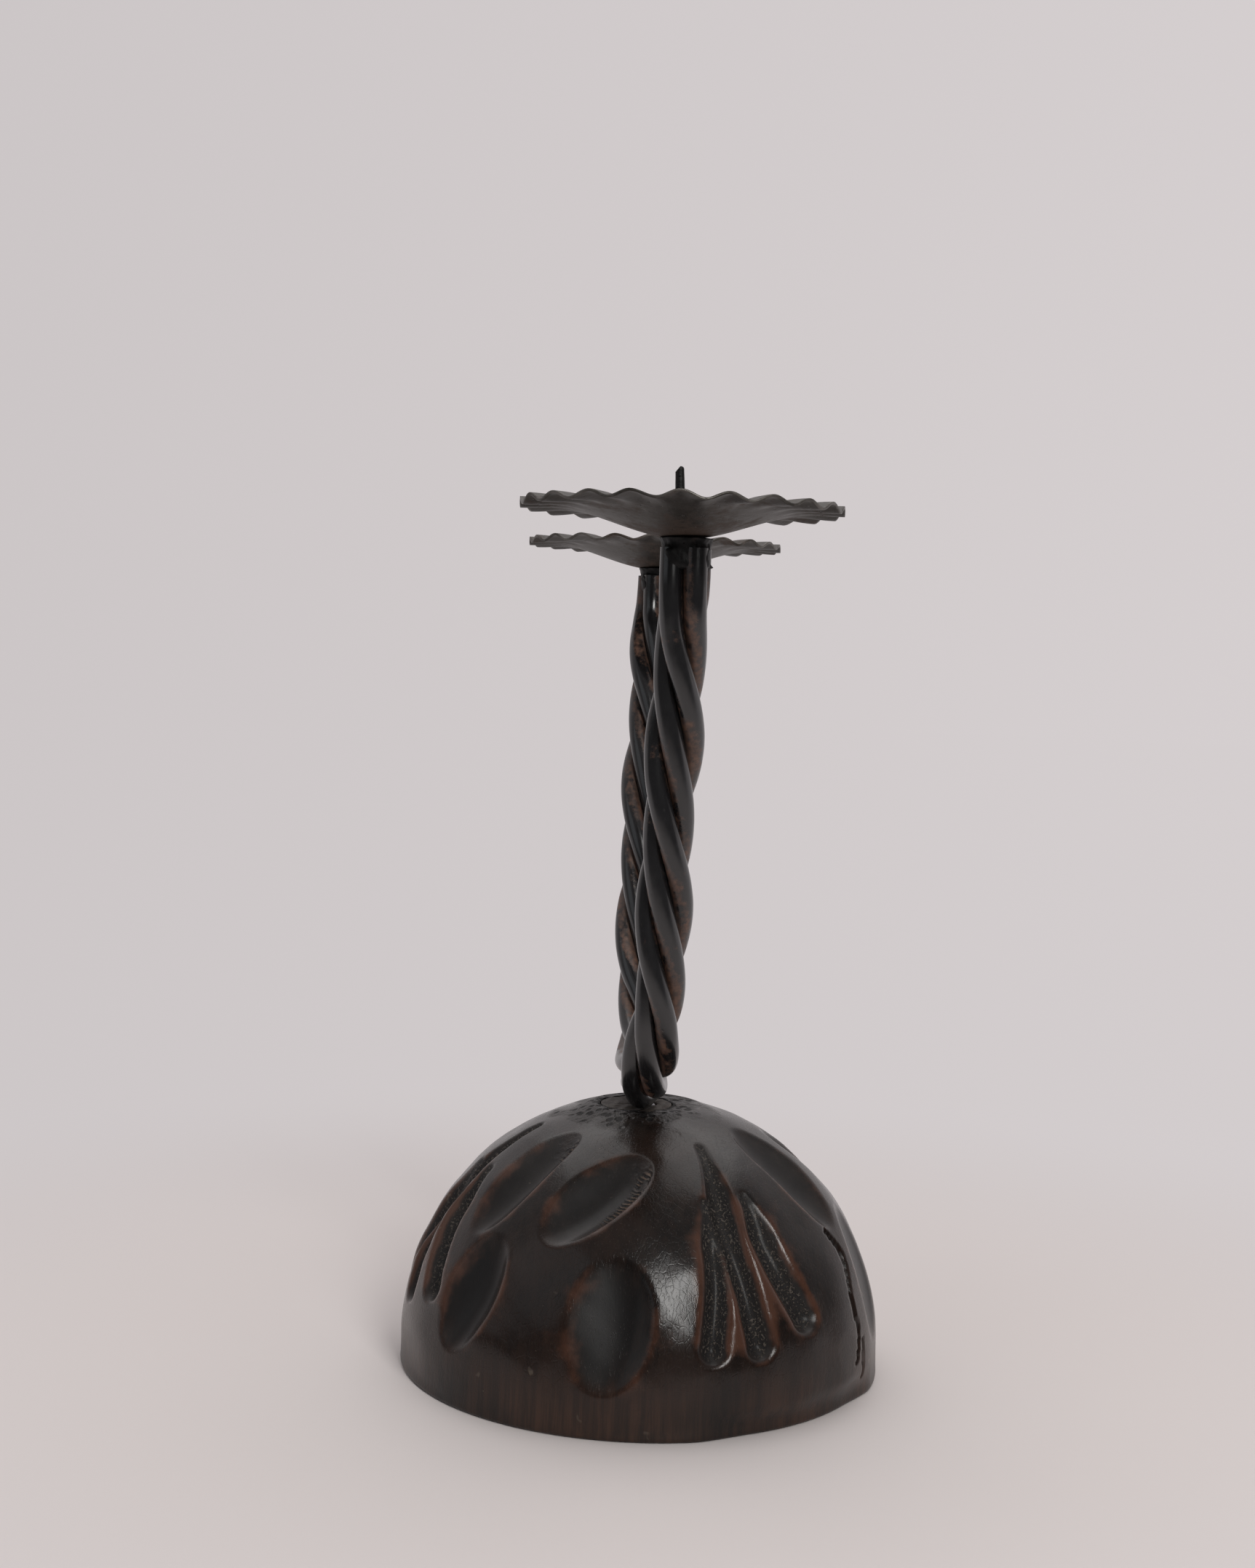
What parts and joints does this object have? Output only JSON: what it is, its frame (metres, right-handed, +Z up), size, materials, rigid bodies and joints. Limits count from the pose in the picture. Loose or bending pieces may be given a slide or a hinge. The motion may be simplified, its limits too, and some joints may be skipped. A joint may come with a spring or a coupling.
{
  "type": "two-arm pricket candlestick",
  "caption": "Candlestick for two candles: a rope of twisted iron rods bent into a V on a carved dark wooden dome, with a crimped drip pan and a spike on each arm.",
  "frame": {"origin": "on the table under the middle of the round wooden base", "axes": "+Z up; the two arms lean towards +X and -X"},
  "size_m": [0.2616, 0.1534, 0.2794],
  "materials": {
    "stained_wood": "satin, dark stained hardwood, worn redder on the carved edges",
    "end_grain": "matte, rough dark end grain",
    "forged_iron": "black forge scale waxed to a satin, with light rust",
    "pan_iron": "thin brown-grey sheet iron, worn bright on the edge",
    "zinc_steel": "dull zinc plate"
  },
  "bodies": {
    "root": {"base_dome": "stained_wood", "centre_plug": "end_grain", "iron_rod_1": "forged_iron", "iron_rod_2": "forged_iron", "iron_rod_3": "forged_iron", "iron_rod_4": "forged_iron", "pan_collar_a": "forged_iron", "pan_collar_b": "forged_iron", "drip_pan_a": "pan_iron", "drip_pan_b": "pan_iron", "pricket_a": "forged_iron", "pricket_b": "forged_iron", "centre_stud": "zinc_steel", "stud_washer": "zinc_steel", "stud_nut": "zinc_steel"}
  },
  "joints": []
}
